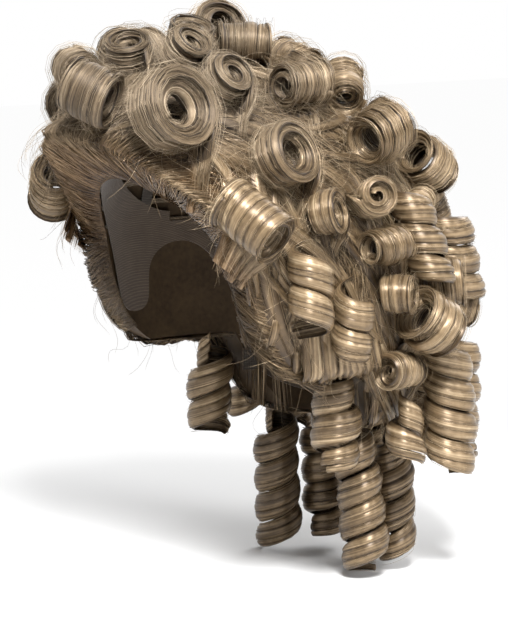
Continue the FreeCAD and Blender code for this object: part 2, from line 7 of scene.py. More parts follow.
import bpy
import numpy as np
from mathutils import Vector
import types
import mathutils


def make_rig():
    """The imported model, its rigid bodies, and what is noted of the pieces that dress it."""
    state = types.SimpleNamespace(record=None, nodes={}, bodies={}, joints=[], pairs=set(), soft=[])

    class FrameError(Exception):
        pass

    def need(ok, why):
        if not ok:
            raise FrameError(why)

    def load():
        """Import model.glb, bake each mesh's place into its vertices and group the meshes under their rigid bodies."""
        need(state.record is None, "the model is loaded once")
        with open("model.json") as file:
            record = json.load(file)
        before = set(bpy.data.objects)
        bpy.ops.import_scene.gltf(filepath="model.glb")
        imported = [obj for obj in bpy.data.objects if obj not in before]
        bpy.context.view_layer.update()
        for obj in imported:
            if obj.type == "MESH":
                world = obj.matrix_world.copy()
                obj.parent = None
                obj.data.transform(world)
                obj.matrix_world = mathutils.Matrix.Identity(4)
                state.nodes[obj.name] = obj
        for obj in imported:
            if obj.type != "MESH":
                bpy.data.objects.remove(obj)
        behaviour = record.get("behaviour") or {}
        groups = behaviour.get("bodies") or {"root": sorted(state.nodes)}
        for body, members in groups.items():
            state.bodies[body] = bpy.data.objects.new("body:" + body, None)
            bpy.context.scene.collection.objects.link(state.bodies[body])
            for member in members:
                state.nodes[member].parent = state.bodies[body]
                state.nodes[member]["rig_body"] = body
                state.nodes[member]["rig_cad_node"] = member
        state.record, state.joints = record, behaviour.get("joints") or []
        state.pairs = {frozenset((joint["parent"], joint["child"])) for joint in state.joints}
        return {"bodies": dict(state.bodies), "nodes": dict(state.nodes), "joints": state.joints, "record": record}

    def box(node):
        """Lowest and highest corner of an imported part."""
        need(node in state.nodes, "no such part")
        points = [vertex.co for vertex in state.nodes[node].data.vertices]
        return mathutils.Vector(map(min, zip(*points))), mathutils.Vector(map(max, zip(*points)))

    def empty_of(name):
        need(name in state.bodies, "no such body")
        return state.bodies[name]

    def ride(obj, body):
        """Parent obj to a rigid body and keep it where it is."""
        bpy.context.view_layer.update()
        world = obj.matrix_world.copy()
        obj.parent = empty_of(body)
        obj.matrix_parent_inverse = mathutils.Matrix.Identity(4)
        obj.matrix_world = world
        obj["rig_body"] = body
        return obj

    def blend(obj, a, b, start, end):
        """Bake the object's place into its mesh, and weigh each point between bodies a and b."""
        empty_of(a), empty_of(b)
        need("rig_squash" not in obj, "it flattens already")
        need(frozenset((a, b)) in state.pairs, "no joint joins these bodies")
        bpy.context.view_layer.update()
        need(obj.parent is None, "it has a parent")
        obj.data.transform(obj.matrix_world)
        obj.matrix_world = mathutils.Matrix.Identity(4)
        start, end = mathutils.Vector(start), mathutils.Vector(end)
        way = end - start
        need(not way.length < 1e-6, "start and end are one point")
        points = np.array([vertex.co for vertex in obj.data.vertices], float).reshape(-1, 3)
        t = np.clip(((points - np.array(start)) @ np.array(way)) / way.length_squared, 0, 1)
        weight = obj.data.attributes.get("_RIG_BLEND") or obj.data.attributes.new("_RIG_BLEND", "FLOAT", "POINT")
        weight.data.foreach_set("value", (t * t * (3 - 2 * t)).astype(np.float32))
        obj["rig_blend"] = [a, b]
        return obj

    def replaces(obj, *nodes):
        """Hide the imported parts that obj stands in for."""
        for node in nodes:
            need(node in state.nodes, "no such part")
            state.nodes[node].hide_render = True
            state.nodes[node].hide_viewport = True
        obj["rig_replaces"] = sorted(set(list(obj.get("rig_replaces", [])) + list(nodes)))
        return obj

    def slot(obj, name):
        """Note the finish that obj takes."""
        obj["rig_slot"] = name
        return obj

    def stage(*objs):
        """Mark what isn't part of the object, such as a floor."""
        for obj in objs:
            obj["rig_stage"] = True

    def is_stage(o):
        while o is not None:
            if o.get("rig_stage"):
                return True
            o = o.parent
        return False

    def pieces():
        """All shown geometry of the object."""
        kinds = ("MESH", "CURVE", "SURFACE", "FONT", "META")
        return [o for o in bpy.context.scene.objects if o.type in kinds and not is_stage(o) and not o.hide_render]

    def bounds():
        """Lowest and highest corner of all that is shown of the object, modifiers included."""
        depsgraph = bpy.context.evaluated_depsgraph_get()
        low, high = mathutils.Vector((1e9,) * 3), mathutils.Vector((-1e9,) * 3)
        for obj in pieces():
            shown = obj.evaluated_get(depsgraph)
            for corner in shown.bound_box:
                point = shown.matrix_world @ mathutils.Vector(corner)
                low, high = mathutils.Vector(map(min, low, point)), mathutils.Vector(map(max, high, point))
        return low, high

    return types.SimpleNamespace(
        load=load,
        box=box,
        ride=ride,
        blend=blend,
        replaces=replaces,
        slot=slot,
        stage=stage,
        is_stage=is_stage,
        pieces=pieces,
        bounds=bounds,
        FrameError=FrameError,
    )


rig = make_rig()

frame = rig.load()
cad_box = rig.bounds()

MM = 0.001
NODES = frame["nodes"]
BODY_OF = {n: b for b, members in frame["record"]["behaviour"]["bodies"].items() for n in members}

# Hair
COLUMN = 0.55 * MM          # distance between fibres modelled across a combed band
STRAND = 0.20 * MM          # half thickness of a few fibres that lie on top of a band
FLYAWAY = 0.08 * MM         # half thickness of the hairs that stand off
LOCK_SHEET = 0.4 * MM       # thickness of a lock's sheet of fibres
LEAD_ROWS = 10              # rows of the hair that leads into a curl
STEPS_PER_TURN = 24
ROUND = 6.28                # upper end of a random angle
PITCH = 19.0 * MM           # drop of a ringlet's band in one turn
BAND = 18.2 * MM            # height of that band
TURN_STEP = 4.4 * MM        # how much a roll's radius shrinks in one turn
HAIR_NODES = ("hair_front", "hair_crown", "hair_sides", "hair_back", "hair_nape")

# Shape of the hair mass under the curls: a tilted ellipsoid
MASS_CENTRE = np.array([0.0, -4.0, -12.0]) * MM
MASS_HALF = np.array([94.0, 146.0, 117.0]) * MM
MASS_TILT = math.radians(-35.0)
MASS_TURN = np.array([[1, 0, 0],
                      [0, math.cos(MASS_TILT), -math.sin(MASS_TILT)],
                      [0, math.sin(MASS_TILT), math.cos(MASS_TILT)]])


# ---- geometry helpers

def unit(v):
    """Vectors with length 1, along the last axis."""
    return v / np.maximum(np.linalg.norm(v, axis=-1, keepdims=True), 1e-12)


def dot(a, b):
    return (a * b).sum(-1, keepdims=True)


def seeded(name):
    """A random generator that depends only on a name."""
    return np.random.RandomState(zlib.crc32(name.encode()) % (2 ** 31))


def smoothstep(x, low, high):
    """0 below low, 1 above high, smooth between."""
    t = np.clip((x - low) / (high - low), 0, 1)
    return t * t * (3 - 2 * t)


def mass_normal(p):
    """Outward normal of the hair mass at points near it."""
    q = (p - MASS_CENTRE) @ MASS_TURN
    return unit((q / MASS_HALF ** 2) @ MASS_TURN.T)


def on_mass(p):
    """Points moved on to the surface of the hair mass."""
    q = (p - MASS_CENTRE) @ MASS_TURN / MASS_HALF
    return (unit(q) * MASS_HALF) @ MASS_TURN.T + MASS_CENTRE


def mass_depth(p):
    """Radial measure of the hair mass: 1 on its surface, less inside."""
    return np.linalg.norm((p - MASS_CENTRE) @ MASS_TURN / MASS_HALF, axis=-1)


def mesh_arrays(obj):
    """Vertices and triangles of an object as arrays."""
    mesh = obj.data
    mesh.calc_loop_triangles()
    co = np.empty(len(mesh.vertices) * 3)
    mesh.vertices.foreach_get("co", co)
    tri = np.empty(len(mesh.loop_triangles) * 3, np.int64)
    mesh.loop_triangles.foreach_get("vertices", tri)
    return co.reshape(-1, 3), tri.reshape(-1, 3)


def new_object(name, data):
    """A new object in the scene."""
    obj = bpy.data.objects.new(name, data)
    bpy.context.scene.collection.objects.link(obj)
    return obj


def set_values(mesh, **layers):
    """Puts numbers on a mesh's points, under the names that the hair materials read."""
    for name, values in layers.items():
        layer = mesh.attributes.new(name, "FLOAT", "POINT")
        layer.data.foreach_set("value", values.astype(np.float32))


def waves(rng, count, scale_a, scale_b):
    """A smooth random function of two variables, between about -1 and 1."""
    fa = rng.uniform(0.4, 1.0, count) * scale_a * rng.choice([-1, 1], count)
    fb = rng.uniform(0.3, 1.0, count) * scale_b
    ph = rng.uniform(0, 2 * math.pi, count)

    def value(a, b):
        return sum(np.sin(fa[k] * a + fb[k] * b + ph[k]) for k in range(count)) / count * 1.6
    return value


class Bundle:
    """Hair gathered into one mesh, with the attributes tone, cast and combed on its points."""

    def __init__(self):
        self.verts, self.quads, self.tris, self.tone, self.combed = [], [], [], [], []
        self.count = 0

    def tubes(self, paths, radius, tone, ref):
        """Adds thin three-sided tubes. paths is strands x points x 3, ref a direction across them."""
        n, m, _ = paths.shape
        tangent = unit(np.gradient(paths, axis=1))
        side = unit(np.cross(tangent, ref))
        lift = np.cross(side, tangent)
        taper = np.ones(m)
        taper[0] = taper[-1] = 0.15
        rad = (np.broadcast_to(radius, (n, m)) * taper)[..., None]
        angles = (0, 2 * math.pi / 3, 4 * math.pi / 3)
        rings = [paths + rad * (lift * math.cos(a) + side * math.sin(a)) for a in angles]
        base = (np.arange(n)[:, None] * m + np.arange(m - 1)[None]).reshape(-1) * 3 + self.count
        for k in range(3):
            near, far = base + k, base + (k + 1) % 3
            self.quads.append(np.stack([near, near + 3, far + 3, far], axis=1))
        first = np.arange(n) * m * 3 + self.count
        last = first + (m - 1) * 3
        self.tris.append(np.stack([first, first + 1, first + 2], axis=1))
        self.tris.append(np.stack([last, last + 2, last + 1], axis=1))
        self.verts.append(np.stack(rings, axis=2).reshape(-1, 3))
        self.tone.append(np.repeat(np.broadcast_to(tone, (n, m)).reshape(-1), 3))
        self.combed.append(np.repeat(tangent.reshape(-1, 3), 3, axis=0))
        self.count += n * m * 3

    def sheet(self, front, normal, thickness, tone):
        """Adds a closed sheet: a grid of points and the same grid moved back along its normals."""
        a, b, _ = front.shape
        back = front - normal * thickness
        i, j = np.meshgrid(np.arange(a - 1), np.arange(b - 1), indexing="ij")
        q0 = (i * b + j).reshape(-1)
        face = np.stack([q0, q0 + b, q0 + b + 1, q0 + 1], axis=1)
        sides = [face, face[:, ::-1] + a * b]
        along, down = np.arange(b), np.arange(a) * b
        for line in (along, down + b - 1, along[::-1] + (a - 1) * b, down[::-1]):
            sides.append(np.stack([line[:-1], line[1:], line[1:] + a * b, line[:-1] + a * b], axis=1))
        self.quads.append(np.concatenate(sides) + self.count)
        self.verts.append(np.concatenate([front.reshape(-1, 3), back.reshape(-1, 3)]))
        tone = np.broadcast_to(tone, (a, b)).reshape(-1)
        # The back face gets 0.6 of the tone: painted shade on the inner, unlit side of each sheet.
        self.tone.append(np.concatenate([tone, tone * 0.6]))
        tangent = unit(np.gradient(front, axis=1)).reshape(-1, 3)
        self.combed.append(np.concatenate([tangent, tangent]))
        self.count += 2 * a * b

    def build(self, name, material):
        """The gathered hair as one object."""
        verts = np.concatenate(self.verts)
        tone = np.concatenate(self.tone)
        quads = np.concatenate(self.quads)
        tris = np.concatenate(self.tris) if self.tris else np.zeros((0, 3), int)
        mesh = bpy.data.meshes.new(name)
        count = len(quads) + len(tris)
        loops = np.concatenate([quads.reshape(-1), tris.reshape(-1)])
        starts = np.concatenate([np.arange(len(quads)) * 4,
                                 len(quads) * 4 + np.arange(len(tris)) * 3])
        mesh.vertices.add(len(verts))
        mesh.vertices.foreach_set("co", verts.astype(np.float32).reshape(-1))
        mesh.loops.add(len(loops))
        mesh.loops.foreach_set("vertex_index", loops.astype(np.int32))
        mesh.polygons.add(count)
        mesh.polygons.foreach_set("loop_start", starts.astype(np.int32))
        mesh.update(calc_edges=True)
        mesh.polygons.foreach_set("use_smooth", np.ones(count, bool))
        set_values(mesh, tone=tone, cast=cast_of(verts))
        combed = mesh.attributes.new("combed", "FLOAT_VECTOR", "POINT")
        directions = np.concatenate(self.combed).astype(np.float32)
        combed.data.foreach_set("vector", directions.reshape(-1))
        mesh.materials.append(material)
        return new_object(name, mesh)


def cast_of(p):
    """Colour cast of hair at points: above 0 towards ash at the top front, below 0 towards copper
    at the hairline."""
    ash = smoothstep(p[:, 2], 45 * MM, 100 * MM) * smoothstep(-p[:, 1], -60 * MM, 40 * MM)
    line = smoothstep(-p[:, 1], 35 * MM, 70 * MM) * smoothstep(-p[:, 2], -85 * MM, -55 * MM)
    line = line * smoothstep(1.03 - mass_depth(p), -0.02, 0.02)
    return 0.55 * ash * (1 - line) - 0.8 * line


class Band:
    """A combed band of hair: a grid of points across and along it, with outward normals."""

    def __init__(self, points, normals, column=COLUMN):
        self.points, self.normals, self.column = points, normals, column
        self.across, self.rows = points.shape[:2]
        self.width = np.linalg.norm(points[-1] - points[0], axis=-1).max()
        self.length = np.linalg.norm(np.diff(points[self.across // 2], axis=0), axis=-1).sum()

    def at(self, s, rise, rows=slice(None)):
        """Points at s, from -1 on one edge to 1 on the other, for each row of the band."""
        f = (s + 1) / 2 * (self.across - 1)
        k = np.clip(np.floor(f).astype(int), 0, self.across - 2)
        w = (f - k)[..., None]
        j = np.arange(self.rows)[rows][None]
        n = unit(self.normals[k, j] * (1 - w) + self.normals[k + 1, j] * w)
        p = self.points[k, j] * (1 - w) + self.points[k + 1, j] * w
        return p + n * np.asarray(rise)[..., None], n

    def comb(self, bundle, rng, tone=0.5, lock=7 * MM, loose=1.0, stray=1.0, fly=6, inner=0):
        """Fills the band with locks that lap over each other, strands on them and fly hairs that
        stand off. lock is the width of one lock, inner the number of hairs inside the curl."""
        count = max(1, int(round(self.width / lock)))
        order = rng.permutation(count)
        for k in range(count):
            centre = -1 + (2 * k + 1) / count + rng.normal(0, 0.10 / count) * loose
            half = (1.22 if count > 1 else 1.0) / count
            self.lock(bundle, rng, centre, half, order[k] / count, tone, loose)
        apart = 0.85 * MM if self.column < 0.8 * MM else 1.4 * MM
        for number, reach, rise, radius, shade, wander in (
                (int(self.width / apart), 0.97, (0.05, 0.85), STRAND, tone + 0.05, 0.8),
                (max(2, int(5 * stray)), 1.06, (-0.9, 0.5), STRAND * 0.9, tone, 1.6),
                (int(fly * stray), 1.0, (0.5, 2.2 * stray), FLYAWAY, tone + 0.20, 4.0),
                (inner, 0.9, (-7, -0.8), STRAND * 0.7, tone - 0.05, 3.0)):
            if number:
                self.strands(bundle, rng, number, reach, rise, radius, shade, wander)

    def lock(self, bundle, rng, centre, half, height, tone, loose):
        """One rounded lock along the band, with fine fibres, thinner ends and painted shade towards its edges."""
        first = int(rng.uniform(0, 3) * loose)
        last = self.rows - int(rng.uniform(0, 4) * loose)
        rows = slice(first, last)
        t = np.linspace(0, 1, last - first)[None]
        far = t * self.length / (20 * MM)
        columns = max(5, int(self.width * half / self.column))
        u = np.linspace(-1, 1, columns)[:, None]
        drift = waves(rng, 3, 1.3, 1.0)
        lanes = self.width * half / (4.0 * MM)
        groove = waves(rng, 6, lanes * 3.6, 1.1)
        pace = rng.uniform(1.5, 6.0, (columns, 1))
        ripple = np.sin(far * pace + rng.uniform(0, ROUND, (columns, 1)))
        end = 1 - 7 / self.rows
        slim = half * (1 - 0.45 * smoothstep(t, end, 1.0) * loose)
        slim = slim * (1 + 0.10 * drift(far * 0.8, 0.0))
        s = centre + 0.07 * loose * drift(far, 1.0) * min(1, 3 * half) + u * slim
        crown = (1 - np.abs(u) ** 2.4) * min(1.1, 0.16 * self.width * half / MM) * MM
        outside = np.clip(np.abs(s) - 0.72, 0, 1) ** 1.5 * 3.2 * MM
        rise = crown + (height * 0.8 + 0.35 * drift(far * 0.7, 2.0) - 0.9) * MM * loose - outside
        grooves = groove(u, far)
        rough = rng.normal(0, 0.035, (columns, 1)) * MM
        rise = rise + (grooves * 0.10 + ripple * 0.02) * MM + rough
        # Random tone for each fibre and along it, plus painted shade: darker in the grooves and much darker towards
        # the lock's edges, where locks lap over each other.
        shade = (tone + rng.normal(0, 0.05) + rng.normal(0, 0.10, (columns, 1)) + grooves * 0.07
                 + ripple * 0.05 - 0.40 * np.abs(u) ** 3)
        points, normals = self.at(s, rise, rows)
        bundle.sheet(points, normals, LOCK_SHEET, np.clip(shade, 0.02, 1))

    def strands(self, bundle, rng, count, reach, rise, radius, tone, wander):
        """Single strands along the band. reach is how far out from its middle they lie, rise their
        lowest and highest lift off it in mm, wander how far they stray sideways."""
        rows = slice(None, None, 2) if self.rows > 40 else slice(None)
        t = np.linspace(0, 1, self.rows)[rows][None]
        s = rng.uniform(-reach, reach, (count, 1))
        sway = rng.uniform(2, 9, (count, 1))
        phase = rng.uniform(0, ROUND, (count, 1))
        lane = s + np.sin(t * sway + phase) * wander * MM / self.width * 1.2
        lift = rng.uniform(rise[0], rise[1], (count, 1)) * MM
        lift = lift + np.sin(t * sway * 1.3 + phase * 2) * 0.12 * wander * MM
        points, normals = self.at(lane, lift, rows)
        bundle.tubes(points, radius * rng.uniform(0.7, 1.25, (count, 1)),
                     np.clip(tone + rng.normal(0, 0.13, (count, 1)), 0.02, 1), normals)


# ---- materials

def node_tools(tree):
    """Functions for a node tree. make gives an output of a new node, feed sets inputs of a node,
    each to a value or to another node's output, and calc gives the result of an operation."""
    def feed(node, inputs):
        for slot, value in inputs.items():
            if isinstance(value, bpy.types.NodeSocket):
                tree.links.new(value, node.inputs[slot])
            else:
                node.inputs[slot].default_value = value

    def make(kind, output, inputs={}, **settings):
        node = tree.nodes.new("ShaderNode" + kind)
        for key, value in settings.items():
            setattr(node, key, value)
        feed(node, inputs)
        return node.outputs[output]

    def calc(operation, *terms, clamp=False):
        return make("Math", 0, dict(enumerate(terms)), operation=operation, use_clamp=clamp)
    return make, feed, calc


def node_material(name):
    """A node material: itself, its shader and its node tools."""
    material = bpy.data.materials.new(name)
    material.use_nodes = True
    tree = material.node_tree
    return (material, tree.nodes["Principled BSDF"], *node_tools(tree))


def ramp_of(make, stops, value):
    """The colour that a ramp gives for a value. stops are (position, colour)."""
    ramp = make("ValToRGB", "Color", {"Fac": value})
    elements = ramp.node.color_ramp.elements
    stops = list(stops)
    while len(elements) < len(stops):
        elements.new(0.5)
    for element, (position, colour) in zip(elements, stops):
        element.position = position
        element.color = (*colour, 1)
    return ramp


STOPS_AT = (0.0, 0.30, 0.58, 1.0)
BROWN = ((0.022, 0.013, 0.007), (0.088, 0.057, 0.029),
         (0.222, 0.155, 0.086), (0.540, 0.425, 0.280))
ASH = ((0.028, 0.020, 0.014), (0.094, 0.070, 0.046),
       (0.212, 0.166, 0.115), (0.510, 0.430, 0.330))
COPPER = ((0.024, 0.011, 0.005), (0.105, 0.058, 0.025),
          (0.225, 0.137, 0.066), (0.480, 0.345, 0.205))


def hair_material(name, roughness, specular, satin=True):
    """Fibre: tone picks the colour along a ramp, cast picks the ramp, fine noise breaks both up."""
    material, shader, make, feed, calc = node_material(name)
    tone = make("Attribute", "Fac", attribute_name="tone")
    cast = make("Attribute", "Fac", attribute_name="cast")
    place = make("TexCoord", "Object")
    noise = make("TexNoise", "Fac", {"Vector": place, "Scale": 330, "Detail": 3})
    patch = make("TexNoise", "Fac", {"Vector": place, "Scale": 45, "Detail": 2})
    fine = calc("MULTIPLY_ADD", noise, 0.24, -0.12)
    broad = calc("MULTIPLY_ADD", patch, 0.22, -0.11)
    both = calc("ADD", fine, broad)
    total = calc("ADD", both, tone, clamp=True)
    brown, ash, copper = (ramp_of(make, zip(STOPS_AT, colours), total)
                          for colours in (BROWN, ASH, COPPER))
    minus = calc("MULTIPLY", cast, -1.0)
    colour = make("Mix", 2, {"Factor": cast, 6: brown, 7: ash}, data_type="RGBA")
    colour = make("Mix", 2, {"Factor": minus, 6: colour, 7: copper}, data_type="RGBA")
    rough = make("MapRange", "Result", {"Value": noise, "To Min": roughness - 0.05,
                                        "To Max": roughness + 0.09})
    matte = calc("MULTIPLY_ADD", cast, 0.42, rough, clamp=True)
    feed(shader, {"Base Color": colour, "Roughness": matte, "Specular IOR Level": specular})
    if satin:
        combed = make("Attribute", "Vector", attribute_name="combed")
        feed(shader, {"Tangent": combed, "Anisotropic": 0.75, "Anisotropic Rotation": 0.25,
                      "Metallic": 0.40})
    return material


hair = hair_material("hair_fibre", 0.40, 0.50)
hair_deep = hair_material("hair_deep", 0.60, 0.25, satin=False)


# ---- curls read from the frame

def outer_circle(flat):
    """Middle and radius of the circle that most of the outline of flat points lies on."""
    order = flat[np.lexsort((flat[:, 1], flat[:, 0]))]
    hull = []
    for points in (order, order[::-1]):
        chain = []
        for p in points:
            while len(chain) > 1 and np.cross(chain[-1] - chain[-2], p - chain[-1]) <= 1e-12:
                chain.pop()
            chain.append(p)
        hull += chain[:-1]
    hull = np.array(hull)
    rng = np.random.RandomState(1)
    best = (0, None, 0)
    for _ in range(160):
        a, b, c = hull[rng.choice(len(hull), 3, replace=False)]
        m = 2 * np.array([b - a, c - a])
        if abs(np.linalg.det(m)) < 1e-9:
            continue
        centre = np.linalg.solve(m, [b @ b - a @ a, c @ c - a @ a])
        radius = np.linalg.norm(a - centre)
        count = (abs(np.linalg.norm(hull - centre, axis=1) - radius) < 0.12 * MM).sum()
        if count > best[0] and radius < 40 * MM:
            best = (count, centre, radius)
    return best[1], best[2]


class Curl:
    """The cylinder that a curl's solid fills: axis, middle, radius and length. x points from the
    axis to the hair it lies on, and y is away from its tail."""

    def __init__(self, name, co, tri):
        self.name = name
        a, b, c = co[tri[:, 0]], co[tri[:, 1]], co[tri[:, 2]]
        cross = np.cross(b - a, c - a)
        area = np.linalg.norm(cross, axis=1)
        n = cross / np.maximum(area, 1e-15)[:, None]
        self.axis = np.linalg.eigh((n * area[:, None]).T @ n)[1][:, 0]
        used = co[np.unique(tri)]
        if self.axis[2] > 0 and abs(self.axis[2]) > 0.6:
            self.axis = -self.axis
        t = used @ self.axis
        self.length = np.ptp(t)
        probe = unit(np.cross(self.axis, [0.31, 0.52, 0.79]))
        other = np.cross(self.axis, probe)
        centre, self.radius = outer_circle(np.stack([used @ probe, used @ other], axis=1))
        self.centre = probe * centre[0] + other * centre[1] + self.axis * (t.min() + t.max()) / 2
        foot = on_mass(self.centre[None])[0]
        inward = foot - self.centre if mass_depth(self.centre) > 1 else self.centre - foot
        inward = inward if np.linalg.norm(inward) > 2 * MM else -mass_normal(self.centre[None])[0]
        self.x = unit(inward - self.axis * (inward @ self.axis))
        self.y = np.cross(self.axis, self.x)
        local = used - self.centre
        across = local - (local @ self.axis)[:, None] * self.axis
        tail = np.linalg.norm(across, axis=1) > 1.04 * self.radius
        if tail.any() and (local[tail] @ self.y).mean() > 0:
            self.y = -self.y
        self.top = self.centre - self.axis * (self.length / 2)

    def radial(self, angle):
        """Unit vectors out from the axis, at angles from x towards y."""
        return np.cos(angle)[..., None] * self.x + np.sin(angle)[..., None] * self.y


def curls_of(node):
    """The curls of a node, one for each of its solids."""
    co, tri = mesh_arrays(NODES[node])
    _, welded = np.unique((co * 1e5).round(), axis=0, return_inverse=True)
    welded = welded.reshape(-1)
    label = np.arange(welded.max() + 1)
    faces = welded[tri]
    for _ in range(200):
        low = label[faces].min(1)
        new = label.copy()
        for k in range(3):
            np.minimum.at(new, faces[:, k], low)
        new = new[new]
        if (new == label).all():
            break
        label = new
    solid = label[faces[:, 0]]
    names = np.unique(solid)
    if len(names) == 1:
        return [Curl(node, co, tri)]
    return [Curl("%s_%d" % (node, k + 1), co, tri[solid == n]) for k, n in enumerate(names)]


ROLLS = ("front_roll", "crown_roll", "crown_loops", "side_ring_curls", "side_loops", "side_rolls",
         "temple_barrels", "back_barrels", "low_barrels", "back_roll", "crown_fillers", "back_fillers")
SHORT_RINGLETS = ("back_ringlet", "ear_ringlets")
HANGING = ("long_", "under_", "cheek_", "nape_front_", "nape_rear_", "nape_centre_")
KINDS = (("roll", ROLLS), ("short", SHORT_RINGLETS), ("hang", HANGING))
KNOTTED = HANGING[1:]
WOUND = ("back_barrels", "low_barrels", "side_rolls", "back_roll")


def led_band(points, normals, reach, fan):
    """A band, and before its first row the hair that rises from the hair mass and turns into it.
    reach is how far away that hair starts, 0 for none, and fan how far it spreads there."""
    if not reach:
        return Band(points, normals)
    start = points[:, 0]
    direction = unit(start - points[:, 1])
    middle = start.mean(0)
    flow = direction.mean(0)
    n = mass_normal(middle[None])[0]
    flow = unit(flow - n * (flow @ n) * 0.8)
    origin = on_mass(middle + flow * reach + (start - middle) * fan)
    origin = origin - mass_normal(start) * 0.6 * MM
    out, chord = mass_normal(origin), start - origin
    handle_a = origin + unit(chord - out * dot(chord, out)) * reach * 0.45
    handle_b = start + direction * reach * 0.42
    t = np.linspace(0, 1, LEAD_ROWS, endpoint=False)[None, :, None]
    p0, p1, p2, p3 = (v[:, None] for v in (origin, handle_a, handle_b, start))
    lead = p0 * (1 - t) ** 3 + p1 * 3 * t * (1 - t) ** 2 + p2 * 3 * t ** 2 * (1 - t) + p3 * t ** 3
    blend = smoothstep(t, 0.35, 1.0)
    lead_normals = unit(unit(out)[:, None] * (1 - blend) + normals[:, :1] * blend)
    return Band(np.concatenate([lead, points], axis=1),
                np.concatenate([lead_normals, normals], axis=1))


def roll_band(curl, rng, turns, lead):
    """A band rolled up on itself like a barrel curl, with the hair that leads into it."""
    phi = np.linspace(0, turns * 2 * math.pi, int(turns * STEPS_PER_TURN) + 1)[None]
    s = np.linspace(-1, 1, 15)[:, None]
    turn = phi / (2 * math.pi)
    wave = waves(rng, 4, 1.6, 1.3)
    radius = curl.radius - 0.2 * MM - TURN_STEP * turn - 1.3 * MM * s ** 2 * (0.5 + 0.5 * turn)
    radius = radius * (1 + 0.035 * wave(s, phi))
    radius = np.maximum(radius, 1.5 * MM)
    half = curl.length / 2 * (1.0 - 0.07 * turn + 0.05 * np.sin(phi * 1.3 + rng.uniform(0, 6)))
    skew = curl.length * 0.05 * np.sin(phi * 0.8 + rng.uniform(0, 6))
    radial = curl.radial(phi)
    points = curl.centre + curl.axis * (s * half + skew)[..., None] + radial * radius[..., None]
    normals = unit(radial + curl.axis * (s * 0.35)[..., None])
    return led_band(points, normals, lead, 0.75)


def helix(curl, turns, across):
    """The grid of a band wound round a curl: turns along it, -1 to 1 across it, and the way out."""
    t = np.linspace(0, turns, int(turns * STEPS_PER_TURN) + 1)[None]
    return t, np.linspace(-1, 1, across)[:, None], curl.radial(2 * math.pi * t)


def ringlet_band(curl, rng, lead, knotted):
    """A tall band wound down in a helix, each turn lapping over the next."""
    longer = 0 if lead == 0 or curl.length > 60 * MM else 0.30 * curl.length
    drop = curl.length + longer - BAND * 0.86
    turns = max(drop / PITCH, 0.75)
    pitch = drop / turns
    t, s, radial = helix(curl, turns, 13)
    wave = waves(rng, 4, 1.2, 2.4)
    outer = curl.radius - 0.1 * MM - 2.5 * MM * np.abs(s) ** 2.2 - 0.35 * MM * s
    phase = rng.uniform(0, ROUND, 3)
    taper = 0.955 + 0.035 * np.sin(t * 1.7 + phase[0]) - 0.08 * smoothstep(t, turns - 0.8, turns)
    radius = outer * taper * (1 + 0.03 * wave(s, t * 3))
    if knotted:
        opened = smoothstep(t, 0, 0.75)
        radius = 3.2 * MM + (radius - 3.2 * MM) * opened
    height = BAND / 2 * (1 - 0.16 * smoothstep(t, turns - 0.5, turns))
    tilt = 1.6 * MM * np.cos(2 * math.pi * t - phase[1]) * smoothstep(t, 0, 0.5)
    down = BAND / 2 * 0.86 + pitch * t + tilt - s * height * (1 + 0.05 * wave(s * 0.5, t * 2.2))
    lean = (curl.x * np.sin(t * 0.9 + phase[2])[..., None]
            + curl.y * np.cos(t * 1.3 + phase[2])[..., None])
    points = curl.top + curl.axis * down[..., None] + radial * radius[..., None]
    points = points + lean * (0.4 * MM * smoothstep(t, 0.3, 1.5))[..., None]
    normals = unit(radial - curl.axis * (s * 0.3)[..., None])
    return led_band(points, normals, lead, 0.55)


def face_band(curl, rng, end, hole, dish):
    """Hair wound in rings that close an end of a curl as far as its hole. end is 1 or -1, hole
    the hole's part of the radius, and dish how far the face sinks, as a part of the length."""
    phi = np.linspace(0, 2 * math.pi * 1.08, STEPS_PER_TURN + 3)[None] + rng.uniform(0, ROUND)
    s = np.linspace(-1, 1, 9)[:, None]
    inward = (s + 1) / 2
    wave = waves(rng, 4, 1.5, 1.0)
    drift = 1.6 * MM * (phi - phi.mean()) / (2 * math.pi)
    radius = (curl.radius - 1.5 * MM) * (1 - (1 - hole) * inward)
    radius = radius * (1 + 0.04 * wave(s, phi)) - drift
    axial = curl.length / 2 - 0.8 * MM - dish * curl.length * inward ** 1.4
    axial = axial + 0.7 * MM * wave(s * 0.7, phi + 2)
    radial = curl.radial(phi)
    points = curl.centre + curl.axis * (end * axial)[..., None] + radial * radius[..., None]
    slope = 0.5 + 0.8 * dish
    normals = unit(curl.axis * end - radial * (slope * inward - 0.5 * (1 - inward))[..., None])
    return Band(points, normals)


def coil_band(curl, rng, pitch, lead):
    """A barrel wound as several narrow turns side by side."""
    band = pitch * 1.06
    drop = curl.length - band
    turns = drop / pitch + 0.3
    t, s, radial = helix(curl, turns, 11)
    wave = waves(rng, 4, 1.2, 2.4)
    radius = (curl.radius - 0.1 * MM - 1.6 * MM * np.abs(s) ** 2.4) * (1 + 0.025 * wave(s, t * 3))
    radius = radius * (1 - 0.12 * smoothstep(t, turns - 0.5, turns))
    place = -drop / 2 + (drop / turns) * t + s * band / 2 * (1 + 0.05 * wave(s * 0.5, t * 2.2))
    points = curl.centre + curl.axis * place[..., None] + radial * radius[..., None]
    normals = unit(radial + curl.axis * (s * 0.4)[..., None])
    return led_band(points, normals, lead, 0.6)


def finish_piece(bundle, name, node=None, body="wig", root=None):
    """Builds a bundle as a piece that stands for a node and rides on a body. root holds two points
    between which it stops following the cap and starts to follow the body."""
    piece = bundle.build(name, hair)
    if root:
        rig.blend(piece, "wig", body, *root)
    else:
        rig.ride(piece, body)
    if node:
        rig.replaces(piece, node)
    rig.slot(piece, "hair_fibre")


